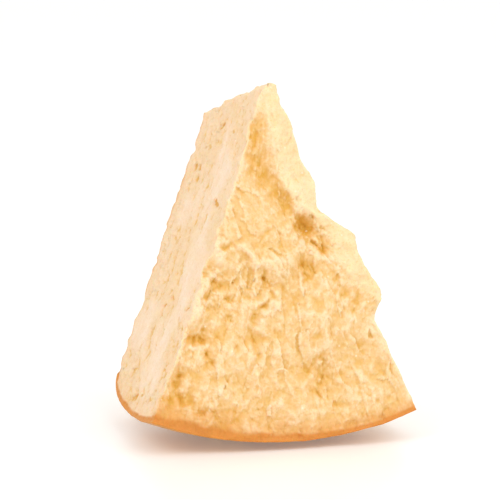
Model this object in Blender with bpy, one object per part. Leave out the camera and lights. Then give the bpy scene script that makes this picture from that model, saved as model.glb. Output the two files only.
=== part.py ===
"""A chunk of aged hard cheese, broken out of a barrel-sided wheel.

The chunk is a wedge of half the wheel's height. It stands on the wheel's bulging side, point up
and leaning back. Its front is the rough break through the wheel's middle, its two flanks run
towards the wheel's axis, its back is the wheel's flat face, and its foot is the rind.

Sizes are in metres. A place in the wheel is given by x across the chunk, by depth along the
wheel's axis from the middle of the wheel to its flat face, and by below, the distance under the
line where the two flanks would meet.
"""

from math import cos, exp, hypot, pi, radians, sin, sqrt, tan

import bmesh
import bpy
from mathutils import Matrix, Vector, noise

# The wheel that the chunk was broken from
WHEEL_RADIUS = 0.208          # at the middle of the bulging side
BARREL_RADIUS = 0.290         # of the side's curve from flat face to flat face
HALF_HEIGHT = 0.110           # from the middle of the wheel to its flat face
SHOULDER_DEPTH = 0.022        # the stretch over which the side rounds into the flat face
SHOULDER_DROP = 0.007         # how far that rounding pulls the side in

# The wedge
LEFT_ANGLE = radians(22.5)    # from straight down to the left flank
RIGHT_ANGLE = radians(21.5)   # from straight down to the right flank
FLANKS_MEET = 0.009           # how far under the wheel's axis the two flanks would meet
TIP_START = 0.0055            # where the blunt tip's rounding begins, below that line
TIP_HALF_WIDTH = 0.0045
TIP_ROUNDING = 0.0035         # height of the rounded tip over TIP_START
TIP_FALL = 0.010              # how much lower the tip is at the back than at the front
TIP_NICKS = 0.0030            # unevenness of the broken tip

# How it rests
LEAN = radians(11.0)          # backwards, until the rind's curve meets the table
FLAT_SPOT_DEPTH = 0.0010      # how far its own weight has flattened the rind

# The lattice that carries the relief
ROWS_DOWN = 32                # from the tip to the rind
ROWS_DEEP = 18                # from the front to the back
TIP_SHARE = 1.0 / ROWS_DOWN   # share of the rows spent on the rounded tip
RIND_SHARE = 0.94             # share of the rows past which the flanks lose their relief

# The front break: a smooth facet runs down its right edge, and its inner border is the crest.
# Places on the break are (x, below).
CREST = ((-0.004, 0.012), (-0.001, 0.040), (0.000, 0.058), (0.011, 0.071), (0.024, 0.083),
         (0.028, 0.102), (0.034, 0.114), (0.054, 0.126))
FACET_SLOPE = tan(radians(27.0))
FACET_BLEND = 0.010
GROOVE = ((-0.011, 0.028), (-0.009, 0.050), (0.000, 0.063), (0.008, 0.073))
GROOVE_DEPTH = 0.0065
GROOVE_WIDTH = 0.0075
HOLLOWS = (                   # x, below, radius, depth
    (0.017, 0.083, 0.0085, 0.0110),
    (0.008, 0.098, 0.0110, 0.0045),
    (-0.010, 0.111, 0.0080, 0.0040),
    (0.020, 0.163, 0.0120, 0.0045),
    (-0.047, 0.139, 0.0120, 0.0035),
    (-0.060, 0.166, 0.0100, 0.0045),
)
LUMPS = (                     # x, below, radius, height
    (0.000, 0.104, 0.0090, 0.0045),
    (-0.023, 0.090, 0.0160, 0.0030),
    (0.012, 0.146, 0.0200, 0.0030),
    (-0.028, 0.160, 0.0200, 0.0030),
)
CRUMBLY_FROM, CRUMBLY_TO = 0.060, 0.110   # below: where the break turns from flaky to crumbly

# The right flank's front edge
EDGE_BULGE = (0.108, 0.017, 0.0085)       # below, half length, height
EDGE_DENT = (0.072, 0.008, 0.0030)        # below, half length, depth
EDGE_REACH = (0.020, 0.055)               # depths between which bulge and dent die out


def fade(distance, reach):
    """1 at no distance, falling smoothly to nothing over about twice the reach."""
    return exp(-((distance / reach) ** 2))


def ramp(value, start, end):
    """0 before start, 1 after end, and smooth between them."""
    share = min(max((value - start) / (end - start), 0.0), 1.0)
    return share * share * (3.0 - 2.0 * share)


def rough(across, along, size, seed):
    """Uneven ground with swells of about the size given, between -1 and 1."""
    return noise.fractal(Vector((across / size + seed, along / size, 0.0)), 1.0, 2.0, 3)


def path_distance(x, below, path):
    """Distance from a place on the front break to a path drawn on it."""
    spot = Vector((x, below))
    nearest = HALF_HEIGHT
    for start, end in zip(path, path[1:]):
        start, run = Vector(start), Vector(end) - Vector(start)
        along = min(max((spot - start).dot(run) / run.length_squared, 0.0), 1.0)
        nearest = min(nearest, (spot - start - run * along).length)
    return nearest


def crest_at(below):
    """The crest's x: straight up above its first point, and running off the edge past its last."""
    if below <= CREST[0][1]:
        return CREST[0][0]
    for (x0, below0), (x1, below1) in zip(CREST, CREST[1:]):
        if below <= below1:
            return x0 + (x1 - x0) * (below - below0) / (below1 - below0)
    return CREST[-1][0] + below - CREST[-1][1]


def front_relief(x, below):
    """How deep the front break lies behind the wheel's middle plane."""
    depth = 0.0035 * rough(x, below, 0.050, 3.7)
    depth += 0.0022 * rough(x, below, 0.017, 8.1) * ramp(below, CRUMBLY_FROM, CRUMBLY_TO)
    depth += GROOVE_DEPTH * fade(path_distance(x, below, GROOVE), GROOVE_WIDTH)
    for hollow_x, hollow_below, radius, deep in HOLLOWS:
        depth += deep * fade(hypot(x - hollow_x, below - hollow_below), radius)
    for lump_x, lump_below, radius, high in LUMPS:
        depth -= high * fade(hypot(x - lump_x, below - lump_below), radius)
    outside = max(x - crest_at(below), 0.0)
    return depth * (1.0 - ramp(outside, 0.0, FACET_BLEND)) + FACET_SLOPE * outside


def left_relief(below, depth):
    """How far the left flank, cut with a knife, stands out of its plane."""
    return 0.0012 * rough(below, depth, 0.060, 21.3)


def right_relief(below, depth):
    """How far the right flank, a slow break, stands out of its plane."""
    near_edge = 1.0 - ramp(depth, *EDGE_REACH)
    bulge_below, bulge_reach, bulge_height = EDGE_BULGE
    dent_below, dent_reach, dent_depth = EDGE_DENT
    out = 0.0045 * rough(below, depth, 0.065, 40.9) * ramp(depth, 0.0, 0.030)
    out += 0.0018 * rough(below, depth, 0.020, 47.2)
    out += bulge_height * fade(below - bulge_below, bulge_reach) * near_edge
    out -= dent_depth * fade(below - dent_below, dent_reach) * near_edge
    return out


def back_relief(x, below):
    """How far the flat face is dished in."""
    return 0.0010 * rough(x, below, 0.080, 60.4)


def wheel_radius(depth):
    """Radius of the wheel's side, barrel and shoulder, at a depth."""
    sagitta = BARREL_RADIUS - sqrt(BARREL_RADIUS ** 2 - depth ** 2)
    past = min(max(depth - HALF_HEIGHT + SHOULDER_DEPTH, 0.0) / SHOULDER_DEPTH, 1.0)
    return WHEEL_RADIUS - sagitta - SHOULDER_DROP * (1.0 - sqrt(1.0 - past ** 2))


def reach_to_rind(angle, depth):
    """Distance from the line where the flanks would meet to the rind."""
    radius = wheel_radius(depth)
    return sqrt(radius ** 2 - (FLANKS_MEET * sin(angle)) ** 2) - FLANKS_MEET * cos(angle)


def place(across, down, deep):
    """Put a lattice point in the wheel.

    Across runs from -1 at the left flank to 1 at the right one, down from 0 at the tip to 1 at
    the rind, and deep from 0 at the front to 1 at the back.
    """
    flank = RIGHT_ANGLE if across > 0.0 else LEFT_ANGLE
    angle = across * flank
    depth = deep * HALF_HEIGHT
    tip = TIP_START + TIP_FALL * deep + TIP_NICKS * rough(depth, 0.0, 0.030, 70.5)
    radius = tip + (reach_to_rind(angle, depth) - tip) * max(down - TIP_SHARE, 0.0) / (1.0 - TIP_SHARE)
    half_width = radius * sin(flank)
    x = radius * sin(angle) + across * (hypot(half_width, TIP_HALF_WIDTH) - half_width)
    below = radius * cos(angle)
    if down < TIP_SHARE:
        turn = pi / 2 * down / TIP_SHARE
        x *= sin(turn)
        below -= TIP_ROUNDING * cos(turn)
    front = front_relief(x, below)
    back = HALF_HEIGHT - back_relief(x, below)
    depth = front + (back - front) * deep
    stand_out = right_relief(below, depth) if across > 0.0 else left_relief(below, depth)
    x += across * stand_out * cos(flank) * (1.0 - ramp(down, RIND_SHARE, 1.0))
    return Vector((x, depth, -below))


def lattice_prism():
    """A three-sided prism, point at +Y and front at -Z, cut into a lattice of small faces."""
    mesh = bmesh.new()
    bmesh.ops.create_cone(mesh, cap_ends=True, segments=3, radius1=1.0, radius2=1.0, depth=1.0)
    deep_edges = [edge for edge in mesh.edges if edge.verts[0].co.z * edge.verts[1].co.z < 0.0]
    bmesh.ops.subdivide_edges(mesh, edges=deep_edges, cuts=ROWS_DEEP - 1, use_grid_fill=True)
    level_edges = [edge for edge in mesh.edges if abs(edge.verts[0].co.z - edge.verts[1].co.z) < 1e-4]
    bmesh.ops.subdivide_edges(mesh, edges=level_edges, cuts=ROWS_DOWN - 1, use_grid_fill=True)
    return mesh


def shape_wedge(mesh):
    """Carry each point of the prism to its place in the wheel."""
    for vertex in mesh.verts:
        down = min(max((1.0 - vertex.co.y) / 1.5, 0.0), 1.0)
        half_width = max(down, 1e-6) * sqrt(3.0) / 2.0
        across = min(max(vertex.co.x / half_width, -1.0), 1.0)
        vertex.co = place(across, down, vertex.co.z + 0.5)


def rest_on_table(mesh):
    """Lean the wedge back, flatten the rind where it stands, and centre it over the origin."""
    bmesh.ops.transform(mesh, matrix=Matrix.Rotation(-LEAN, 4, "X"), verts=mesh.verts)
    table = min(vertex.co.z for vertex in mesh.verts) + FLAT_SPOT_DEPTH
    middle = [
        (min(vertex.co[axis] for vertex in mesh.verts) + max(vertex.co[axis] for vertex in mesh.verts)) / 2
        for axis in (0, 1)
    ]
    for vertex in mesh.verts:
        vertex.co.x -= middle[0]
        vertex.co.y -= middle[1]
        vertex.co.z = max(vertex.co.z - table, 0.0)


def cheese_chunk():
    """The whole chunk as one closed mesh."""
    mesh = lattice_prism()
    shape_wedge(mesh)
    rest_on_table(mesh)
    bmesh.ops.triangulate(mesh, faces=mesh.faces)
    bmesh.ops.recalc_face_normals(mesh, faces=mesh.faces)
    data = bpy.data.meshes.new("cheese_chunk")
    mesh.to_mesh(data)
    mesh.free()
    data.materials.append(cheese_material())
    return data


def cheese_material():
    """Straw-coloured cheese, dull all over."""
    material = bpy.data.materials.new("hard_cheese")
    material.use_nodes = True
    shader = material.node_tree.nodes["Principled BSDF"]
    shader.inputs["Base Color"].default_value = (0.93, 0.70, 0.38, 1.0)
    shader.inputs["Roughness"].default_value = 0.65
    shader.inputs["Metallic"].default_value = 0.0
    return material


for old in list(bpy.data.objects):
    bpy.data.objects.remove(old, do_unlink=True)
chunk = bpy.data.objects.new("cheese_chunk", cheese_chunk())
bpy.context.collection.objects.link(chunk)
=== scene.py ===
"""Looks of a chunk of aged hard cheese, broken out of a barrel-sided wheel.

The chunk stands point up on its curved rind. Its front is a rough break, its left flank was cut
with a knife, its right flank is a slower break, and its back and foot are the wheel's rind.

Sizes are in metres. A place in the wheel is given by x across the chunk, by depth along the
wheel's axis from the middle of the wheel to its flat face, and by below, the distance under the
line where the two flanks would meet.
"""

import logging
from dataclasses import dataclass, field
from enum import Enum
from math import atan2, cos, exp, floor, hypot, pi, radians, sin, sqrt, tan

import bmesh
import bpy
import numpy as np
from mathutils import Matrix, Vector, noise


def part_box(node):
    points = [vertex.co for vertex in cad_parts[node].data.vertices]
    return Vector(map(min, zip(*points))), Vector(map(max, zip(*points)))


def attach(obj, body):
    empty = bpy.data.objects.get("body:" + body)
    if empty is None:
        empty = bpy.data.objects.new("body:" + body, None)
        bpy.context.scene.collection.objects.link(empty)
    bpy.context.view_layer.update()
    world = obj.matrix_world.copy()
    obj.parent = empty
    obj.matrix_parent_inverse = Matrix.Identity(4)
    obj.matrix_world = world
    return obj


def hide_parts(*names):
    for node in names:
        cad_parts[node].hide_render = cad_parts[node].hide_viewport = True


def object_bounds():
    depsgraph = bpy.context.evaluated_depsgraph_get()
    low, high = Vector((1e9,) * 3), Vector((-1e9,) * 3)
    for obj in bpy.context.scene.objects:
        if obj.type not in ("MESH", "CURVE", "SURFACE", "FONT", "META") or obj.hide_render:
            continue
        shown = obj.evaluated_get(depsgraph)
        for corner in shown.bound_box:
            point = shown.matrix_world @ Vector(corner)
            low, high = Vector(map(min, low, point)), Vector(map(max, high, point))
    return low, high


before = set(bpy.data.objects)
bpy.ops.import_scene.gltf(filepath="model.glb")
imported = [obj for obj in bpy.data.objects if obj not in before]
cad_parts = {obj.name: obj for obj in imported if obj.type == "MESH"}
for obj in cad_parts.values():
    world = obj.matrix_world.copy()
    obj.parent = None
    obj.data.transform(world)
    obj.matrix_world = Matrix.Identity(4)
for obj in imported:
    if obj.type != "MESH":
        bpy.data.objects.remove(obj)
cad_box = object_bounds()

log = logging.getLogger("cheese")

NODE = "cheese_chunk"
BODY = "root"
MM = 0.001
WARP_SEED = 8

# The hollow zone is the share of painted shade in the front's groove, hollows and darker spots.
ZONES = ("under_side", "under_flat", "split", "facet", "hollow_shade_and_mottle", "grain")

Colour = tuple[float, float, float, float]
Spot = tuple[float, float]


# ---------------------------------------------------------------- shapes of ground

def fade(distance: float, reach: float) -> float:
    """1 at no distance, falling smoothly to nothing over about twice the reach."""
    return exp(-((distance / reach) ** 2))


def ramp(value: float, start: float, end: float) -> float:
    """0 before start, 1 after end, and smooth between them."""
    share = min(max((value - start) / (end - start), 0.0), 1.0)
    return share * share * (3.0 - 2.0 * share)


def swell(across: float, along: float, size: float, seed: float) -> float:
    """Uneven ground with swells of about the size given, between -1 and 1."""
    return noise.fractal(Vector((across / size + seed, along / size, 0.0)), 1.0, 2.0, 3)


def plates(across: float, along: float, width: float, length: float, seed: float) -> float:
    """Ground like a fresh break: small tilted plates at random heights, meeting in steps.

    Args:
        across: Place across the plates.
        along: Place along them.
        width: Width of a plate.
        length: Length of a plate.
        seed: Which pattern.

    Returns:
        Height, about -1 to 1.
    """
    spot = Vector((across / width + seed, along / length, seed * 0.37))
    spot += noise.noise_vector(spot * 1.3) * 0.5
    centre = noise.voronoi(spot)[1][0]
    tilt = noise.cell_vector(centre * 5.1) - Vector((0.5, 0.5, 0.5))
    return 0.5 * noise.cell(centre * 7.3) + 1.6 * (spot - centre).dot(tilt)


def curd(across: float, along: float, size: float, seed: float) -> float:
    """Ground like pressed curd: round lumps on lumps, with sharp creases between them.

    Args:
        across: First place on the surface.
        along: Second place on the surface.
        size: Width of the biggest lumps.
        seed: Which pattern.

    Returns:
        Height, about -1 to 1.
    """
    spot = Vector((across / size + seed, along / size, seed * 0.7))
    return 1.6 * noise.turbulence(spot, 4, True, amplitude_scale=0.55, frequency_scale=2.1) - 1.0


def pits(across: float, along: float, width: float, length: float, crowd: float, seed: float) -> float:
    """Small scattered pits with steep walls.

    Args:
        across: Place across the pits.
        along: Place along them.
        width: Spacing of the places where a pit may be.
        length: The same spacing, along.
        crowd: Share of those places that have a pit, 0 to 1.
        seed: Which pattern.

    Returns:
        Depth, 0 between the pits to 1 at the bottom of one.
    """
    spot = Vector((across / width + seed, along / length, seed * 0.37))
    spot += noise.noise_vector(spot * 0.9) * 0.5
    distances, centres = noise.voronoi(spot)
    chance = 0.5 + 0.5 * noise.cell(centres[0] * 6.1)
    reach = 0.5 * min(max(crowd - chance, 0.0) * 2.0, 1.0)
    return 1.0 - ramp(distances[0], 0.1 * reach, reach) if reach > 0.08 else 0.0


def crack(distance: float, width: float) -> float:
    """1 at the bottom of a crack, rising in steep walls to 0 at its rim."""
    share = min(distance / (1.6 * width), 1.0)
    return 1.0 - share ** 0.8 if share < 1.0 else 0.0


def path_distance(x: float, below: float, path: tuple[Spot, ...]) -> float:
    """Distance from a place on the front break to a path drawn on it."""
    spot = Vector((x, below))
    nearest = 1.0
    for start, end in zip(path, path[1:]):
        start, run = Vector(start), Vector(end) - Vector(start)
        along = min(max((spot - start).dot(run) / run.length_squared, 0.0), 1.0)
        nearest = min(nearest, (spot - start - run * along).length)
    return nearest


# ---------------------------------------------------------------- the wheel and the faces

@dataclass(frozen=True)
class Wheel:
    """The barrel-sided wheel that the chunk was broken out of."""

    radius: float = 0.208
    barrel_radius: float = 0.290
    half_height: float = 0.110
    shoulder_depth: float = 0.022
    shoulder_drop: float = 0.007
    flanks_meet: float = 0.009

    def radius_at(self, depth: float) -> float:
        """Radius of the side, barrel and shoulder, at a depth."""
        sagitta = self.barrel_radius - sqrt(self.barrel_radius ** 2 - depth ** 2)
        past = min(max(depth - self.half_height + self.shoulder_depth, 0.0) / self.shoulder_depth, 1.0)
        return self.radius - sagitta - self.shoulder_drop * (1.0 - sqrt(1.0 - past ** 2))

    def reach_to_rind(self, angle: float, depth: float) -> float:
        """Distance from the line where the flanks would meet to the rind."""
        radius = self.radius_at(depth)
        meet = self.flanks_meet
        return sqrt(radius ** 2 - (meet * sin(angle)) ** 2) - meet * cos(angle)

    def skin(self, along: float, across: float) -> float:
        """Height of the rind's small unevenness."""
        return 0.00030 * swell(along, across, 0.016, 81.0) + 0.00012 * swell(along, across, 0.005, 83.0)

    def under_side(self, x: float, below: float, depth: float) -> float:
        """How far a point lies inside the wheel's round side."""
        return self.radius_at(min(depth, self.half_height)) - hypot(x, below + self.flanks_meet)


WHEEL = Wheel()


@dataclass(frozen=True)
class FrontBreak:
    """The rough break through the wheel's middle, with a smooth facet down its right edge."""

    crest: tuple[Spot, ...] = ((-0.003, 0.012), (0.000, 0.036), (0.002, 0.054), (0.012, 0.070),
                               (0.026, 0.083), (0.033, 0.100), (0.038, 0.113), (0.055, 0.126))
    facet_slope: float = tan(radians(27.0))
    facet_blend: float = 0.010
    groove: tuple[Spot, ...] = ((-0.010, 0.028), (-0.009, 0.050), (-0.001, 0.062), (0.006, 0.070))
    groove_depth: float = 0.0055
    groove_width: float = 0.0075
    hollows: tuple[tuple[float, float, float, float], ...] = (
        (0.017, 0.083, 0.0080, 0.0085),
        (0.024, 0.094, 0.0050, 0.0040),
        (0.012, 0.104, 0.0100, 0.0045),
        (-0.010, 0.111, 0.0090, 0.0022),
        (0.020, 0.163, 0.0130, 0.0036),
        (-0.047, 0.139, 0.0120, 0.0035),
        (-0.060, 0.166, 0.0100, 0.0045),
    )
    darker_spots: tuple[tuple[float, float, float], ...] = (
        (-0.051, 0.180, 0.0110), (-0.069, 0.175, 0.0070), (-0.034, 0.187, 0.0060),
    )
    lumps: tuple[tuple[float, float, float, float], ...] = (
        (0.000, 0.104, 0.0090, 0.0045),
        (-0.023, 0.090, 0.0160, 0.0030),
        (0.012, 0.146, 0.0200, 0.0030),
        (-0.028, 0.160, 0.0200, 0.0030),
    )
    crumbly_from: float = 0.060
    crumbly_to: float = 0.110
    flake_turn: float = radians(36.0)
    crevices: tuple[tuple[tuple[Spot, ...], float, float], ...] = (
        (((-0.011, 0.107), (-0.008, 0.113), (-0.006, 0.121), (-0.014, 0.128), (-0.018, 0.137),
          (-0.014, 0.150)), 0.0026, 0.0021),
        (((0.022, 0.151), (0.020, 0.158), (0.022, 0.165), (0.017, 0.171), (0.018, 0.178)), 0.0032, 0.0024),
        (((-0.045, 0.135), (-0.051, 0.142), (-0.054, 0.151)), 0.0030, 0.0032),
        (((-0.045, 0.141), (-0.042, 0.153)), 0.0026, 0.0026),
        (((-0.062, 0.146), (-0.059, 0.157), (-0.062, 0.169), (-0.053, 0.180), (-0.041, 0.1845)),
         0.0040, 0.0022),
        (((-0.004, 0.080), (-0.009, 0.090), (-0.008, 0.098)), 0.0030, 0.0018),
        (((-0.021, 0.099), (-0.016, 0.104), (-0.009, 0.111)), 0.0028, 0.0018),
        (((-0.034, 0.084), (-0.029, 0.093)), 0.0052, 0.0020),
        (((-0.038, 0.107), (-0.037, 0.120)), 0.0052, 0.0032),
        (((0.032, 0.113), (0.036, 0.118), (0.035, 0.127)), 0.0026, 0.0022),
        (((0.046, 0.124), (0.041, 0.130)), 0.0032, 0.0024),
        (((0.0145, 0.078), (0.018, 0.083), (0.0205, 0.090)), 0.0030, 0.0036),
        (((0.0215, 0.091), (0.0255, 0.097)), 0.0026, 0.0032),
        (((0.013, 0.100), (0.016, 0.106), (0.015, 0.111)), 0.0026, 0.0026),
    )
    crests: tuple[tuple[tuple[Spot, ...], float, float], ...] = (
        (((-0.0185, 0.046), (-0.027, 0.062)), 0.0034, 0.0020),
        (((-0.039, 0.088), (-0.035, 0.100)), 0.0034, 0.0024),
        (((-0.044, 0.112), (-0.051, 0.1285)), 0.0042, 0.0032),
        (((-0.061, 0.141), (-0.065, 0.148)), 0.0038, 0.0028),
        (((-0.021, 0.092), (-0.013, 0.103)), 0.0026, 0.0022),
        (((-0.009, 0.1015), (0.001, 0.1015)), 0.0055, 0.0012),
        (((0.0225, 0.132), (0.023, 0.148)), 0.0034, 0.0024),
    )

    def crest_at(self, below: float) -> float:
        """The crest's x: straight up above its first point, running off the edge past its last."""
        if below <= self.crest[0][1]:
            return self.crest[0][0]
        for (x0, below0), (x1, below1) in zip(self.crest, self.crest[1:]):
            if below <= below1:
                return x0 + (x1 - x0) * (below - below0) / (below1 - below0)
        return self.crest[-1][0] + below - self.crest[-1][1]

    def broad(self, x: float, below: float) -> float:
        """How deep the break lies behind the wheel's middle plane, without its fine relief."""
        depth = 0.0035 * swell(x, below, 0.050, 3.7)
        depth += 0.0022 * swell(x, below, 0.017, 8.1) * ramp(below, self.crumbly_from, self.crumbly_to)
        depth += self.groove_depth * fade(path_distance(x, below, self.groove), self.groove_width)
        for hollow_x, hollow_below, radius, deep in self.hollows:
            depth += deep * fade(hypot(x - hollow_x, below - hollow_below), radius)
        for lump_x, lump_below, radius, high in self.lumps:
            depth -= high * fade(hypot(x - lump_x, below - lump_below), radius)
        outside = max(x - self.crest_at(below), 0.0)
        return depth * (1.0 - ramp(outside, 0.0, self.facet_blend)) + self.facet_slope * outside

    def in_hollow(self, x: float, below: float) -> float:
        """Painted shade, 1 in the bottom of the groove and the big hollows, and also in a few darker spots."""
        share = 0.55 * fade(path_distance(x, below, self.groove), 0.0055)
        for hollow_x, hollow_below, radius, deep in self.hollows:
            reach = 0.8 * radius
            share += 0.7 * min(deep / 0.008, 1.0) ** 2 * fade(hypot(x - hollow_x, below - hollow_below), reach)
        # The darker spots take the same painted shade as the hollows.
        for spot_x, spot_below, reach in self.darker_spots:
            share += 0.75 * fade(hypot(x - spot_x, below - spot_below), reach)
        share *= max(1.0 + 1.6 * swell(x, below, 0.0070, 95.0), 0.0)
        return min(share, 1.0) * (1.0 - self.on_facet(x, below))

    def on_facet(self, x: float, below: float) -> float:
        """1 on the smooth facet, 0 on the rough break."""
        ragged = 0.0034 * swell(x, below, 0.013, 42.0) + 0.0012 * plates(x, below, 0.0036, 0.0036, 43.0)
        return ramp(x - self.crest_at(below) + ragged, 0.0, 0.0014)

    def marks(self, x: float, below: float) -> float:
        """Height of the crevices and crests that stand out by themselves."""
        sway = noise.noise_vector(Vector((x / 0.0055, below / 0.0055, 6.6)))
        x, below = x + 0.0024 * sway.x, below + 0.0024 * sway.y
        height = 0.0
        broken = max(0.60 + 1.10 * swell(x, below, 0.0065, 90.0), 0.0)
        for path, width, size in self.crevices:
            height -= broken * size * crack(path_distance(x, below, path), width)
        for path, width, size in self.crests:
            height += size * fade(path_distance(x, below, path), width)
        return height

    def fine(self, x: float, below: float) -> float:
        """Height of the fine relief: flakes in the middle, crumbly curd below, a smooth facet."""
        on_facet = self.on_facet(x, below)
        smooth = 0.00090 * swell(x, below, 0.0100, 44.0) + 0.00085 * plates(x, below, 0.0065, 0.0065, 25.1)
        smooth += 0.00045 * plates(x, below, 0.0025, 0.0025, 26.3) + 0.0005 * curd(x, below, 0.0070, 28.0)
        smooth -= 0.00110 * pits(x, below, 0.0060, 0.0060, 0.34, 27.0)
        if on_facet >= 1.0:
            return smooth
        crumbly = ramp(below + 0.010 * swell(x, below, 0.030, 12.0), 0.080, 0.120)
        flaky = ramp(below, 0.044, 0.060) * (1.0 - ramp(below + 0.3 * x, 0.104, 0.132))
        along = x * sin(self.flake_turn) + below * cos(self.flake_turn)
        across = x * cos(self.flake_turn) - below * sin(self.flake_turn)
        in_cavity = fade(hypot(x - 0.017, below - 0.084), 0.014)
        in_groove = fade(path_distance(x, below, self.groove), 0.0100)
        crumbly = max(crumbly, in_cavity, 0.75 * in_groove)
        from_tip, round_tip = hypot(x, below), 0.13 * atan2(x, below)
        rough = 0.0010 * curd(x, below, 0.0115, 3.3) * (0.35 + 0.65 * crumbly)
        rough += 0.0009 * plates(round_tip, from_tip, 0.0058, 0.0160, 11.3) * crumbly
        rough += 0.0004 * plates(x, below, 0.0042, 0.0055, 17.9) * (0.50 + 0.50 * crumbly)
        rough += 0.00030 * plates(x, below, 0.0023, 0.0023, 29.0)
        rough += in_cavity * (0.0015 * curd(x, below, 0.0060, 31.0) + 0.0009 * plates(x, below, 0.0035, 0.0035, 32.0))
        rough += 0.0005 * flaky * plates(across, along, 0.0040, 0.0110, 5.5)
        rough += 0.0007 * flaky * plates(across, along, 0.0085, 0.0150, 6.1)
        rough -= 0.0009 * crumbly * pits(x, below, 0.0070, 0.0070, 0.40, 14.0)
        rough += self.marks(x, below)
        return rough + (smooth - rough) * on_facet


@dataclass(frozen=True)
class LeftCut:
    """The left flank, a flat split along the knife, grainy and pitted but for smooth patches."""

    smooth_patches: tuple[tuple[float, float, float], ...] = (
        (0.048, 0.037, 0.018), (0.106, 0.025, 0.020), (0.090, 0.030, 0.012), (0.150, 0.040, 0.018),
        (0.132, 0.083, 0.016), (0.070, 0.075, 0.014),
    )
    pit_clusters: tuple[tuple[float, float, float], ...] = (
        (0.026, 0.056, 0.009), (0.034, 0.032, 0.009), (0.043, 0.090, 0.010), (0.054, 0.096, 0.009),
        (0.067, 0.037, 0.011), (0.080, 0.070, 0.016), (0.080, 0.100, 0.010), (0.118, 0.049, 0.012),
        (0.124, 0.070, 0.012), (0.136, 0.027, 0.017), (0.116, 0.018, 0.010), (0.144, 0.098, 0.012),
        (0.166, 0.060, 0.012), (0.158, 0.012, 0.010),
    )

    def broad(self, below: float, depth: float) -> float:
        """How far the flank stands out of its plane, without its fine relief."""
        return 0.0012 * swell(below, depth, 0.060, 21.3)

    def graininess(self, below: float, depth: float) -> float:
        """1 where the flank is grainy, near 0 in its smooth patches."""
        smooth = 0.25 * swell(below, depth, 0.010, 50.0)
        sway = noise.noise_vector(Vector((below / 0.022, depth / 0.022, 9.9)))
        below, depth = below + 0.014 * sway.x, depth + 0.014 * sway.y
        for patch_below, patch_depth, reach in self.smooth_patches:
            smooth += fade(hypot(below - patch_below, depth - patch_depth), reach)
        return 1.0 - 0.9 * ramp(smooth, 0.15, 0.75)

    def fine(self, below: float, depth: float, inward: float) -> float:
        """How far the fine relief stands out: grain, knife drags near the tip, and pits."""
        crowd = 0.17
        for cluster_below, cluster_depth, reach in self.pit_clusters:
            crowd += 0.95 * fade(hypot(below - cluster_below, depth - cluster_depth), reach)
        grainy = self.graininess(below, depth)
        out = 0.0012 * swell(below, depth, 0.016, 57.0) * grainy
        out += 0.0013 * curd(below, depth, 0.0110, 58.0) * grainy
        out += 0.0008 * plates(depth, below, 0.0060, 0.0070, 54.0) * grainy
        out += 0.00025 * plates(depth, below, 0.0024, 0.0024, 59.0)
        near_tip = 1.0 - ramp(below, 0.025, 0.060)
        out += 0.0009 * near_tip * noise.noise(Vector((below / 0.030, depth / 0.0050, 4.4)))
        out -= 0.0034 * pits(depth, below, 0.0110, 0.0088, crowd * grainy, 52.0)
        near_back = 1.0 - ramp(WHEEL.half_height - depth, 0.001, 0.012)
        out *= 1.0 - 0.6 * near_back
        out -= 0.0018 * near_back * ramp(swell(below, 0.0, 0.019, 56.0), -0.1, 0.4)
        chipped = fade(inward, 0.005) * ramp(swell(below, 0.0, 0.016, 53.0), -0.1, 0.3)
        return out - 0.0022 * chipped * pits(depth, below, 0.0080, 0.0070, 0.8, 55.0)


@dataclass(frozen=True)
class RightBreak:
    """The right flank, a slow break that followed the wheel's grain."""

    bulge: tuple[float, float, float] = (0.108, 0.017, 0.0085)
    dent: tuple[float, float, float] = (0.072, 0.008, 0.0030)
    edge_reach: tuple[float, float] = (0.020, 0.055)
    nibbles: tuple[tuple[float, float, float], ...] = (
        (0.0165, 0.0022, 0.0010), (0.0260, 0.0060, -0.0012), (0.0460, 0.0030, 0.0012),
        (0.0560, 0.0060, -0.0016), (0.0730, 0.0035, 0.0018), (0.0885, 0.0065, -0.0085),
        (0.0955, 0.0025, -0.0010), (0.1060, 0.0040, 0.0012), (0.1215, 0.0080, -0.0058),
        (0.1345, 0.0052, 0.0024), (0.1600, 0.0120, 0.0015),
    )

    def broad(self, below: float, depth: float) -> float:
        """How far the flank stands out of its plane, without its fine relief."""
        near_edge = 1.0 - ramp(depth, *self.edge_reach)
        bulge_below, bulge_reach, bulge_height = self.bulge
        dent_below, dent_reach, dent_depth = self.dent
        out = 0.0045 * swell(below, depth, 0.065, 40.9) * ramp(depth, 0.0, 0.030)
        out += 0.0018 * swell(below, depth, 0.020, 47.2)
        out += bulge_height * fade(below - bulge_below, bulge_reach) * near_edge
        out -= dent_depth * fade(below - dent_below, dent_reach) * near_edge
        return out

    def fine(self, below: float, depth: float, inward: float) -> float:
        """How far the fine relief stands out, with nibbles along the front edge."""
        inside = 0.30 + 0.70 * ramp(inward, 0.002, 0.014)
        crumbly = ramp(swell(below, depth, 0.045, 62.0), -0.22, 0.22)
        out = 0.0007 * plates(below, depth, 0.0260, 0.0300, 64.0)
        out += 0.0014 * swell(below, depth, 0.0170, 65.0)
        out += 0.0014 * curd(below, depth, 0.0125, 66.0) * (0.35 + 0.65 * crumbly)
        out += 0.0010 * plates(below, depth, 0.0062, 0.0062, 68.0) * crumbly
        out += 0.0005 * plates(depth, below, 0.0064, 0.0120, 70.0) * (1.0 - crumbly)
        out += 0.0003 * plates(below, depth, 0.0024, 0.0024, 71.0)
        out -= 0.0015 * crumbly * pits(below, depth, 0.0085, 0.0085, 0.40, 72.0)
        out *= inside
        near_edge = 1.0 - ramp(inward, 0.003, 0.013)
        for nibble_below, reach, deep in self.nibbles:
            out -= near_edge * deep * fade(below - nibble_below, reach)
        return out


# ---------------------------------------------------------------- the chunk

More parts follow.
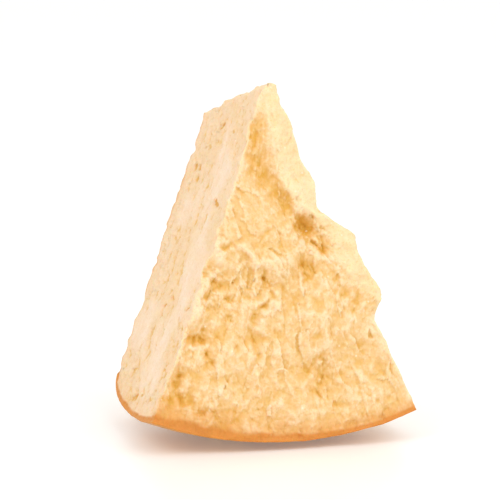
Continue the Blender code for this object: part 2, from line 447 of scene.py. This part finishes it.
@dataclass
class Chunk:
    """The chunk's one closed body, carved from a three-sided prism."""

    wheel: Wheel = field(default_factory=Wheel)
    front: FrontBreak = field(default_factory=FrontBreak)
    left: LeftCut = field(default_factory=LeftCut)
    right: RightBreak = field(default_factory=RightBreak)
    left_angle: float = radians(22.5)
    right_angle: float = radians(21.5)
    tip_start: float = 0.0055
    tip_half_width: float = 0.0045
    tip_rounding: float = 0.0015
    tip_fall: float = 0.010
    tip_nicks: float = 0.0030
    tip_share: float = 8.0 / 256.0
    tip_tilt: float = -0.0012
    rind_share: float = 0.94
    lean: float = radians(11.0)
    flat_spot_depth: float = 0.0010
    cuts_down: tuple[int, int] = (63, 3)
    cuts_deep: tuple[int, int] = (47, 1)
    fine_reach: float = 0.006
    thinned_share: float = 0.67
    rind_thins: float = 1.1

    def place(self, across: float, down: float, deep: float) -> Vector:
        """Put a lattice point in the wheel.

        Args:
            across: -1 at the left flank to 1 at the right one.
            down: 0 at the tip to 1 at the rind.
            deep: 0 at the front to 1 at the back.

        Returns:
            The point as x, depth and height.
        """
        wheel = self.wheel
        flank = self.right_angle if across > 0.0 else self.left_angle
        angle = across * flank
        depth = deep * wheel.half_height
        tip = self.tip_start + self.tip_fall * deep + self.tip_nicks * swell(depth, 0.0, 0.030, 70.5)
        rind = wheel.reach_to_rind(angle, depth)
        if down > 0.999:
            rind += wheel.skin(angle * rind, depth)
        radius = tip + (rind - tip) * max(down - self.tip_share, 0.0) / (1.0 - self.tip_share)
        half_width = radius * sin(flank)
        wide = hypot(half_width, self.tip_half_width)
        x = radius * sin(angle) + across * (wide - half_width)
        below = radius * cos(angle)
        on_cap = min(down / self.tip_share, 1.0)
        x *= on_cap
        below -= self.tip_rounding * (1.0 - on_cap * on_cap)
        near_tip = fade(down, 0.10)
        below += near_tip * (self.tip_tilt * across * on_cap - 0.0008 * plates(x, depth, 0.005, 0.009, 77.0))
        front = self.front.broad(x, below)
        back = wheel.half_height - 0.0010 * swell(x, below, 0.080, 60.4)
        if deep > 0.999:
            back += wheel.skin(x, below)
        depth = front + (back - front) * deep
        face = self.right if across > 0.0 else self.left
        settle = 1.0 - ramp(down, self.rind_share, 1.0)
        x += across * face.broad(below, depth) * cos(flank) * settle
        above_rind = ramp(1.0 - down, 0.0, 0.012)
        inward = depth - front
        beside = (1.0 - abs(across)) * wide
        if beside < 3.0 * self.fine_reach:
            fine = face.fine(below, depth, inward) * above_rind
            x += across * fine * cos(flank) * fade(beside, self.fine_reach)
        if inward < 3.0 * self.fine_reach:
            fine = self.front.fine(x, below) * (0.3 + 0.7 * above_rind)
            depth -= fine * fade(inward, self.fine_reach) * (1.0 - deep)
        return Vector((x, depth, -below))

    def prism(self) -> bpy.types.Object:
        """A three-sided prism, point at +Y and front at -Z, cut into a lattice of small faces."""
        deselect_all()
        bpy.ops.mesh.primitive_cylinder_add(vertices=3, radius=1.0, depth=1.0, end_fill_type="NGON")
        prism = bpy.context.object
        bpy.ops.object.mode_set(mode="EDIT")
        bpy.ops.mesh.select_mode(type="EDGE")
        for along_axis, cuts in ((True, self.cuts_deep), (False, self.cuts_down)):
            for number in cuts:
                select_edges(prism, along_axis)
                bpy.ops.mesh.subdivide(number_cuts=number)
        bpy.ops.object.mode_set(mode="OBJECT")
        return prism

    def build(self) -> bpy.types.Object:
        """Model the whole chunk, leaned back and settled on its flat spot."""
        chunk = self.prism()
        chunk.name = chunk.data.name = "broken_chunk"
        mesh = chunk.data
        self.mark_rind(mesh)
        lattice = read_points(mesh)
        points = np.empty_like(lattice)
        zones = {name: np.zeros(len(lattice), np.float32) for name in ZONES}
        for index, (px, py, pz) in enumerate(lattice.tolist()):
            down = min(max((1.0 - py) / 1.5, 0.0), 1.0)
            across = min(max(px / (max(down, 1e-6) * sqrt(3.0) / 2.0), -1.0), 1.0)
            deep = pz + 0.5
            spot = self.place(across, down, deep)
            points[index] = spot
            thinner = 1.0 + self.rind_thins * ramp(spot.x, -0.030, 0.065)
            if across < -0.999:
                thinner += 0.9 * ramp(spot.y, 0.004, 0.020)
            under = self.wheel.under_side(spot.x, -spot.z, spot.y) * thinner
            under += 0.0016 * swell(spot.x + spot.y, spot.z, 0.009, 96.0) * ramp(under, 0.0, 0.003)
            zones["under_side"][index] = under
            zones["under_flat"][index] = self.wheel.half_height - spot.y
            zones["split"][index] = float(across < -0.999) * (0.5 if deep < 0.001 else 1.0)
            if deep < 0.001:
                zones["facet"][index] = self.front.on_facet(spot.x, -spot.z)
                # Share of painted shade on the front break.
                zones["hollow_shade_and_mottle"][index] = self.front.in_hollow(spot.x, -spot.z)
            if across < -0.999:
                zones["grain"][index] = self.left.graininess(-spot.z, spot.y)
        write_points(mesh, self.settle(points))
        for name, values in zones.items():
            write_attribute(mesh, name, values)
        turn_inside_out(chunk)
        self.thin_rind(chunk, lattice)
        write_attribute(mesh, "recess", recess_map(mesh))
        shade_smooth(chunk)
        return chunk

    def mark_rind(self, mesh: bpy.types.Mesh) -> None:
        """Give the prism's foot and back the rind's material slot."""
        for face in mesh.polygons:
            is_foot = face.normal.y < -0.9
            is_back = face.normal.z > 0.9
            face.material_index = 1 if is_foot or is_back else 0

    def settle(self, points: np.ndarray) -> np.ndarray:
        """Lean the chunk back, and stand it on its flat spot in the middle of its place."""
        points = points @ np.array(Matrix.Rotation(-self.lean, 3, "X")).T
        points[:, 2] -= points[:, 2].min() + self.flat_spot_depth
        low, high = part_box(NODE)
        middle = (points[:, :2].min(0) + points[:, :2].max(0)) / 2
        points[:, 0] += (low.x + high.x) / 2 - middle[0]
        points[:, 1] += (low.y + high.y) / 2 - middle[1]
        points[:, 2] = np.maximum(points[:, 2], 0.0)
        return points

    def thin_rind(self, chunk: bpy.types.Object, lattice: np.ndarray) -> None:
        """Thin out the small faces of the smooth rind, well inside its edges."""
        down = (1.0 - lattice[:, 1]) / 1.5
        inside = np.abs(lattice[:, 0]) < down * sqrt(3.0) / 2.0 - 0.012
        foot = (down > 0.999) & (np.abs(lattice[:, 2]) < 0.48)
        back = (lattice[:, 2] > 0.499) & (down < 0.99) & (down > 0.05)
        group = chunk.vertex_groups.new(name="smooth_rind")
        group.add(np.flatnonzero(inside & (foot | back)).tolist(), 1.0, "REPLACE")
        deselect_all()
        chunk.select_set(True)
        bpy.context.view_layer.objects.active = chunk
        thin = chunk.modifiers.new("thin", "DECIMATE")
        thin.vertex_group = group.name
        thin.ratio = self.thinned_share
        bpy.ops.object.modifier_apply(modifier=thin.name)
        chunk.vertex_groups.clear()


# ---------------------------------------------------------------- mesh helpers

def deselect_all() -> None:
    """Leave nothing selected, so that an operator acts only on what comes next."""
    bpy.ops.object.select_all(action="DESELECT")


def select_edges(piece: bpy.types.Object, along_axis: bool) -> None:
    """In edit mode, select the edges that run along the prism's axis, or those that lie across it."""
    bpy.ops.mesh.select_all(action="DESELECT")
    mesh = bmesh.from_edit_mesh(piece.data)
    for edge in mesh.edges:
        rises = abs(edge.verts[0].co.z - edge.verts[1].co.z) > 1e-4
        edge.select_set(rises == along_axis)
    bmesh.update_edit_mesh(piece.data)


def read_points(mesh: bpy.types.Mesh) -> np.ndarray:
    """The mesh's points as an array of three columns."""
    points = np.empty(len(mesh.vertices) * 3, np.float64)
    mesh.vertices.foreach_get("co", points)
    return points.reshape(-1, 3)


def write_points(mesh: bpy.types.Mesh, points: np.ndarray) -> None:
    """Move the mesh's points."""
    mesh.vertices.foreach_set("co", points.astype(np.float32).ravel())
    mesh.update()


def write_attribute(mesh: bpy.types.Mesh, name: str, values: np.ndarray) -> None:
    """Store one number for each point of the mesh."""
    layer = mesh.attributes.new(name, "FLOAT", "POINT")
    layer.data.foreach_set("value", values.astype(np.float32))


def turn_inside_out(piece: bpy.types.Object) -> None:
    """Turn every face round, as when a shape has been mirrored by hand."""
    deselect_all()
    piece.select_set(True)
    bpy.context.view_layer.objects.active = piece
    bpy.ops.object.mode_set(mode="EDIT")
    bpy.ops.mesh.select_all(action="SELECT")
    bpy.ops.mesh.flip_normals()
    bpy.ops.object.mode_set(mode="OBJECT")


def shade_smooth(piece: bpy.types.Object) -> None:
    """Shade a piece smoothly."""
    deselect_all()
    piece.select_set(True)
    bpy.context.view_layer.objects.active = piece
    bpy.ops.object.shade_smooth()


def smoothed(points: np.ndarray, edges: np.ndarray, rounds: int) -> np.ndarray:
    """Average each point with its neighbours, a number of rounds."""
    count = len(points)
    ends = np.bincount(edges.ravel(), minlength=count)[:, None]
    result = points.copy()
    for _ in range(rounds):
        total = np.zeros_like(result)
        for axis in range(3):
            total[:, axis] = np.bincount(edges[:, 0], result[edges[:, 1], axis], count)
            total[:, axis] += np.bincount(edges[:, 1], result[edges[:, 0], axis], count)
        result = 0.5 * result + 0.5 * total / ends
    return result


def recess_map(mesh: bpy.types.Mesh) -> np.ndarray:
    """How far each point lies in a dip: 0.5 is level, 1 deep in a pit, 0 on a sharp crest. The paste's painted shade
    and highlight follow it.
    """
    points = read_points(mesh)
    edges = np.empty(len(mesh.edges) * 2, np.int64)
    mesh.edges.foreach_get("vertices", edges)
    edges = edges.reshape(-1, 2)
    normals = np.empty(len(points) * 3, np.float64)
    mesh.vertices.foreach_get("normal", normals)
    normals = normals.reshape(-1, 3)
    near = smoothed(points, edges, 12)
    wide = smoothed(near, edges, 100)
    facing = smoothed(normals, edges, 12)
    facing /= np.linalg.norm(facing, axis=1, keepdims=True)
    close = ((near - points) * facing).sum(1) / (0.55 * MM)
    broad = ((wide - near) * facing).sum(1) / (1.6 * MM)
    return 0.5 + 0.5 * np.tanh(0.5 * close + 0.5 * broad)


# ---------------------------------------------------------------- finishes

def display(red: int, green: int, blue: int) -> Colour:
    """A colour as a screen shows it, 0 to 255, turned into the shader's linear scale."""
    def linear(value: int) -> float:
        share = value / 255.0
        return share / 12.92 if share <= 0.04045 else ((share + 0.055) / 1.055) ** 2.4
    return (linear(red), linear(green), linear(blue), 1.0)


@dataclass
class NodeTree:
    """A short way to write a shader's nodes."""

    tree: bpy.types.NodeTree

    def add(self, kind: str, settings: dict | None = None, **inputs: object) -> bpy.types.Node:
        """Add a node, set its own settings, and feed its inputs with values or other sockets.

        Args:
            kind: The node's type name.
            settings: Properties of the node itself.
            **inputs: Values or sockets, by input name with spaces written as underscores.

        Returns:
            The new node.
        """
        node = self.tree.nodes.new(kind)
        for name, value in (settings or {}).items():
            setattr(node, name, value)
        for name, value in inputs.items():
            socket = self.find(node, name)
            if isinstance(value, bpy.types.NodeSocket):
                self.tree.links.new(value, socket)
            else:
                socket.default_value = value
        return node

    @staticmethod
    def find(node: bpy.types.Node, name: str) -> bpy.types.NodeSocket:
        """An input by its name, or by its number where names repeat."""
        if name[0] == "i" and name[1:].isdigit():
            return node.inputs[int(name[1:])]
        return node.inputs[name.replace("_", " ")]

    def math(self, operation: str, first: object, second: object = 0.0) -> bpy.types.NodeSocket:
        """The result of one Math node."""
        node = self.add("ShaderNodeMath", {"operation": operation}, i0=first, i1=second)
        return node.outputs[0]

    def mix(self, share: object, first: object, second: object) -> bpy.types.NodeSocket:
        """A colour mixed from two."""
        node = self.add("ShaderNodeMix", {"data_type": "RGBA"}, i0=share, i6=first, i7=second)
        return node.outputs[2]

    def remap(self, value: object, low: float, high: float, to_low: float = 0.0,
              to_high: float = 1.0) -> bpy.types.NodeSocket:
        """A value moved smoothly from one range to another."""
        node = self.add("ShaderNodeMapRange", {"interpolation_type": "SMOOTHSTEP"}, Value=value,
                        From_Min=low, From_Max=high, To_Min=to_low, To_Max=to_high)
        return node.outputs[0]

    def attribute(self, name: str) -> bpy.types.NodeSocket:
        """A number stored on the piece's points."""
        return self.add("ShaderNodeAttribute", {"attribute_name": name}).outputs["Fac"]

    def grain(self, vector: object, scale: float, detail: float, rough: float = 0.5) -> bpy.types.NodeSocket:
        """Plain noise."""
        node = self.add("ShaderNodeTexNoise", None, Vector=vector, Scale=scale, Detail=detail,
                        Roughness=rough)
        return node.outputs[0]


def new_group(name: str, inputs: dict[str, str], outputs: dict[str, str]) -> tuple[NodeTree, object, object]:
    """Start a shader node group.

    Args:
        name: The group's name.
        inputs: Socket kinds by input name.
        outputs: Socket kinds by output name.

    Returns:
        The group's tree, its input node and its output node.
    """
    group = bpy.data.node_groups.new(name, "ShaderNodeTree")
    for names, way in ((inputs, "INPUT"), (outputs, "OUTPUT")):
        for socket_name, kind in names.items():
            group.interface.new_socket(socket_name, in_out=way, socket_type=kind)
    tree = NodeTree(group)
    return tree, tree.add("NodeGroupInput"), tree.add("NodeGroupOutput")


class Groups:
    """The effects that more than one finish uses."""

    def __init__(self) -> None:
        """Build each group once."""
        self.crumb = self.build_crumb()
        self.mottle = self.build_mottle()

    @staticmethod
    def build_crumb() -> bpy.types.NodeTree:
        """Fine crumb of the cheese's paste: grains of about a millimetre and dust finer than that."""
        tree, given, result = new_group(
            "crumb", {"Vector": "NodeSocketVector", "Coarse": "NodeSocketFloat"},
            {"Height": "NodeSocketFloat", "Pores": "NodeSocketFloat"})
        vector = given.outputs["Vector"]
        cells = tree.add("ShaderNodeTexVoronoi", {"feature": "F1"}, Vector=vector, Scale=620.0)
        coarse = tree.grain(vector, 420.0, 3.0, 0.6)
        dust = tree.grain(vector, 1500.0, 2.0, 0.6)
        height = tree.math("MULTIPLY_ADD", cells.outputs["Distance"], -0.5)
        tree.tree.nodes[-1].inputs[2].default_value = 0.5
        height = tree.math("ADD", height, tree.math("MULTIPLY", coarse, given.outputs["Coarse"]))
        height = tree.math("ADD", height, tree.math("MULTIPLY", dust, 0.35))
        pores = tree.remap(tree.grain(vector, 300.0, 4.0, 0.65), 0.58, 0.74)
        specks = tree.remap(tree.grain(vector, 820.0, 2.0, 0.6), 0.52, 0.66, 0.0, 0.6)
        pores = tree.math("MAXIMUM", pores, specks)
        tree.tree.links.new(height, result.inputs["Height"])
        tree.tree.links.new(pores, result.inputs["Pores"])
        return tree.tree

    @staticmethod
    def build_mottle() -> bpy.types.NodeTree:
        """Soft patches, broad and small, between 0 and 1."""
        tree, given, result = new_group(
            "mottle", {"Vector": "NodeSocketVector", "Scale": "NodeSocketFloat"},
            {"Patches": "NodeSocketFloat"})
        vector = tree.add("ShaderNodeVectorMath", {"operation": "SCALE"}, i0=given.outputs["Vector"],
                          Scale=given.outputs["Scale"]).outputs[0]
        broad = tree.grain(vector, 1.0, 2.0)
        small = tree.grain(vector, 4.3, 3.0)
        both = tree.math("ADD", tree.math("MULTIPLY", broad, 0.6), tree.math("MULTIPLY", small, 0.4))
        tree.tree.links.new(tree.remap(both, 0.35, 0.65), result.inputs["Patches"])
        return tree.tree


def place_group(tree: NodeTree, group: bpy.types.NodeTree, **inputs: object) -> bpy.types.Node:
    """Place a node group in a material's tree, with its own values."""
    node = tree.tree.nodes.new("ShaderNodeGroup")
    node.node_tree = group
    for name, value in inputs.items():
        if isinstance(value, bpy.types.NodeSocket):
            tree.tree.links.new(value, node.inputs[name])
        else:
            node.inputs[name].default_value = value
    return node


def new_material(name: str) -> tuple[bpy.types.Material, NodeTree, bpy.types.Node]:
    """Start a material and return it with its tree and its shader."""
    material = bpy.data.materials.new(name)
    material.use_nodes = True
    return material, NodeTree(material.node_tree), material.node_tree.nodes["Principled BSDF"]


@dataclass(frozen=True)
class Paste:
    """The cheese itself: pale ridges and deep straw hollows painted as highlight and shade, orange under the rind."""

    # These first four colours run from a painted highlight on ridges to the darkest painted shade in recesses; the
    # third also tints random patches and pores.
    ridge_highlight: Colour = display(247, 223, 184)
    level: Colour = display(240, 203, 149)
    hollow_shade_and_mottle: Colour = display(233, 184, 99)
    deep: Colour = display(222, 162, 42)
    split: Colour = display(252, 225, 199)
    facet: Colour = display(248, 225, 181)
    crystal: Colour = display(255, 244, 222)
    rind_section: Colour = display(217, 141, 55)
    stain: Colour = display(226, 162, 80)
    rind_width: float = 0.0060
    rind_blend: float = 0.0210
    roughness: float = 0.62
    subsurface: float = 0.35

    def build(self, groups: Groups, lean: float) -> bpy.types.Material:
        """Make the material."""
        material, tree, shader = new_material("cheese_paste")
        coordinates = tree.add("ShaderNodeTexCoord").outputs["Object"]
        turned = tree.add("ShaderNodeMapping", None, Vector=coordinates, Rotation=(lean, 0.0, 0.0))
        vector = turned.outputs[0]
        recess = tree.attribute("recess")
        split = tree.attribute("split")
        facet = tree.attribute("facet")
        grain = tree.attribute("grain")
        hollow_shade_and_mottle = tree.attribute("hollow_shade_and_mottle")
        under_side = tree.attribute("under_side")
        under_flat = tree.attribute("under_flat")
        crumb = place_group(tree, groups.crumb, Vector=vector, Coarse=1.0)
        patches = place_group(tree, groups.mottle, Vector=vector, Scale=38.0).outputs[0]
        # Painted highlight and shade: colour from pale on ridges to deep straw in recesses, set by the recess
        # attribute.
        cavity_shading = tree.add("ShaderNodeValToRGB", None, Fac=recess)
        stops = cavity_shading.color_ramp.elements
        stops[0].position, stops[0].color = 0.22, self.ridge_highlight
        stops[1].position, stops[1].color = 0.95, self.deep
        for position, colour in ((0.48, self.level), (0.78, self.hollow_shade_and_mottle)):
            stops.new(position).color = colour
        colour = cavity_shading.outputs[0]
        smooth = tree.mix(tree.math("MULTIPLY", grain, 0.45), self.split, self.level)
        # Painted shade: the split flank darkens in its recesses.
        smooth = tree.mix(tree.remap(recess, 0.52, 0.80), smooth, self.hollow_shade_and_mottle)
        colour = tree.mix(split, colour, smooth)
        # Painted shade: the groove, the big hollows and the darker spots darken towards the deepest colour, most in
        # their recesses.
        shaded = tree.math("MULTIPLY", hollow_shade_and_mottle, tree.remap(recess, 0.30, 0.75, 0.25, 1.0))
        colour = tree.mix(shaded, colour, self.deep)
        colour = tree.mix(tree.math("MULTIPLY", facet, 0.78), colour, self.facet)
        # Random patches and small pores in the paste's own tone take the same deep straw colour.
        colour = tree.mix(tree.math("MULTIPLY", patches, 0.22), colour, self.hollow_shade_and_mottle)
        colour = tree.mix(tree.math("MULTIPLY", crumb.outputs["Pores"], 0.50), colour, self.hollow_shade_and_mottle)
        spots = tree.add("ShaderNodeTexVoronoi", {"feature": "F1"}, Vector=vector, Scale=150.0)
        chance = tree.remap(tree.math("MULTIPLY", spots.outputs["Color"], 1.0), 0.55, 0.62)
        crystals = tree.math("MULTIPLY", tree.remap(spots.outputs["Distance"], 0.05, 0.13, 0.55, 0.0), chance)
        colour = tree.mix(crystals, colour, self.crystal)
        near_rind = tree.remap(under_side, self.rind_width, self.rind_blend, 1.0, 0.0)
        stained = tree.math("MULTIPLY", near_rind, tree.remap(split, 0.0, 1.0, 1.0, 0.25))
        stained = tree.math("MULTIPLY", stained, tree.remap(patches, 0.1, 0.9, 0.42, 0.86))
        colour = tree.mix(stained, colour, self.stain)
        in_rind = tree.remap(under_side, self.rind_width * 0.6, self.rind_width * 1.15, 1.0, 0.0)
        flat_rind = tree.remap(under_flat, 0.0010, 0.0045, 0.38, 0.0)
        colour = tree.mix(tree.math("MAXIMUM", in_rind, flat_rind), colour, self.rind_section)
        bump = tree.add("ShaderNodeBump", None, Height=crumb.outputs["Height"], Strength=0.75,
                        Distance=0.0008)
        tree.tree.links.new(colour, shader.inputs["Base Color"])
        tree.tree.links.new(bump.outputs[0], shader.inputs["Normal"])
        tree.tree.links.new(tree.remap(patches, 0.0, 1.0, self.roughness - 0.06, self.roughness + 0.08),
                            shader.inputs["Roughness"])
        shader.inputs["Subsurface Weight"].default_value = self.subsurface
        shader.inputs["Subsurface Radius"].default_value = (1.0, 0.55, 0.25)
        shader.inputs["Subsurface Scale"].default_value = 0.004
        return material


@dataclass(frozen=True)
class Rind:
    """The wheel's skin: golden brown, oiled and slightly glossy, bare of any marks."""

    pale: Colour = display(230, 176, 88)
    golden: Colour = display(208, 141, 40)
    brown: Colour = display(176, 108, 30)
    roughness_low: float = 0.34
    roughness_high: float = 0.52

    def build(self, groups: Groups, lean: float) -> bpy.types.Material:
        """Make the material."""
        material, tree, shader = new_material("oiled_rind")
        coordinates = tree.add("ShaderNodeTexCoord").outputs["Object"]
        vector = tree.add("ShaderNodeMapping", None, Vector=coordinates, Rotation=(lean, 0.0, 0.0)).outputs[0]
        broad = place_group(tree, groups.mottle, Vector=vector, Scale=22.0).outputs[0]
        small = place_group(tree, groups.mottle, Vector=vector, Scale=140.0).outputs[0]
        crumb = place_group(tree, groups.crumb, Vector=vector, Coarse=0.3)
        colour = tree.mix(broad, self.golden, self.pale)
        colour = tree.mix(tree.math("MULTIPLY", small, 0.45), colour, self.brown)
        on_flat = tree.remap(tree.attribute("under_flat"), 0.002, 0.012, 0.25, 0.0)
        colour = tree.mix(on_flat, colour, self.pale)
        bump = tree.add("ShaderNodeBump", None, Height=tree.math("ADD", crumb.outputs["Height"], small),
                        Strength=0.25, Distance=0.0005)
        tree.tree.links.new(colour, shader.inputs["Base Color"])
        tree.tree.links.new(tree.remap(small, 0.0, 1.0, self.roughness_low, self.roughness_high),
                            shader.inputs["Roughness"])
        tree.tree.links.new(bump.outputs[0], shader.inputs["Normal"])
        shader.inputs["Subsurface Weight"].default_value = 0.15
        shader.inputs["Subsurface Radius"].default_value = (1.0, 0.5, 0.2)
        shader.inputs["Subsurface Scale"].default_value = 0.003
        return material


# ---------------------------------------------------------------- studio

class Side(Enum):
    """Where a lamp stands, as seen from the camera."""

    RIGHT = 1
    LEFT = -1


@dataclass(frozen=True)
class Lamp:
    """A soft square lamp aimed at the chunk."""

    name: str
    side: Side
    swing: float
    height: float
    reach: float
    size: float
    watts: float
    tint: Colour = (1.0, 1.0, 1.0, 1.0)


@dataclass
class Studio:
    """A pale floor, soft lamps, and a camera a little above and to the left of the front."""

    azimuth: float = radians(-16.5)
    elevation: float = radians(10.0)
    distance: float = 3.4
    lens: float = 444.8
    floor_size: float = 90.0
    world_strength: float = 0.91
    lamps: tuple[Lamp, ...] = (
        Lamp("key", Side.RIGHT, radians(52.0), radians(46.0), 1.6, 1.5, 8.0, (1.0, 0.97, 0.93, 1.0)),
        Lamp("fill", Side.LEFT, radians(38.0), radians(40.0), 1.9, 0.8, 6.5),
    )

    def direction(self, azimuth: float, elevation: float) -> Vector:
        """The way from the chunk towards something seen at an azimuth and elevation."""
        return Vector((sin(azimuth) * cos(elevation), -cos(azimuth) * cos(elevation), sin(elevation)))

    def aim(self, thing: bpy.types.Object, target: Vector) -> None:
        """Turn a lamp or camera towards a point."""
        thing.rotation_euler = (target - thing.location).to_track_quat("-Z", "Y").to_euler()

    def build(self, target: Vector) -> None:
        """Set the stage round a point."""
        scene = bpy.context.scene
        scene.view_settings.view_transform = "Standard"
        world = bpy.data.worlds.new("studio")
        scene.world = world
        world.use_nodes = True
        world.node_tree.nodes["Background"].inputs["Color"].default_value = (1.0, 1.0, 1.0, 1.0)
        world.node_tree.nodes["Background"].inputs["Strength"].default_value = self.world_strength
        camera = bpy.data.objects.new("camera", bpy.data.cameras.new("camera"))
        scene.collection.objects.link(camera)
        camera.data.lens = self.lens
        camera.data.clip_end = 200.0
        camera.location = target + self.direction(self.azimuth, self.elevation) * self.distance
        self.aim(camera, target)
        scene.camera = camera
        for lamp in self.lamps:
            self.add_lamp(lamp, target)
        self.add_floor()

    def add_lamp(self, lamp: Lamp, target: Vector) -> None:
        """Add one lamp."""
        data = bpy.data.lights.new(lamp.name, "AREA")
        data.size = lamp.size
        data.energy = lamp.watts
        data.color = lamp.tint[:3]
        light = bpy.data.objects.new(lamp.name, data)
        bpy.context.scene.collection.objects.link(light)
        azimuth = self.azimuth + lamp.side.value * lamp.swing
        light.location = target + self.direction(azimuth, lamp.height) * lamp.reach
        light.visible_camera = False
        self.aim(light, target)

    def add_floor(self) -> None:
        """Add the pale floor."""
        deselect_all()
        bpy.ops.mesh.primitive_plane_add(size=self.floor_size)
        floor_piece = bpy.context.object
        floor_piece.name = "floor"
        material, _, shader = new_material("pale_floor")
        shader.inputs["Base Color"].default_value = (0.90, 0.88, 0.85, 1.0)
        shader.inputs["Emission Color"].default_value = (1.0, 1.0, 1.0, 1.0)
        shader.inputs["Emission Strength"].default_value = 0.15
        shader.inputs["Roughness"].default_value = 0.30
        floor_piece.data.materials.append(material)


def main() -> None:
    """Build the chunk and its stage."""
    logging.basicConfig(level=logging.INFO, format="%(name)s: %(message)s")
    noise.seed_set(WARP_SEED)
    chunk = Chunk()
    groups = Groups()
    body = chunk.build()
    body.data.materials.append(Paste().build(groups, chunk.lean))
    body.data.materials.append(Rind().build(groups, chunk.lean))
    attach(body, BODY)
    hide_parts(NODE)
    log.info("%s: %d faces", body.name, len(body.data.polygons))
    low, high = cad_box
    Studio().build(Vector((0.0, 0.0, (low.z + high.z) / 2)))


if __name__ == "__main__":
    main()
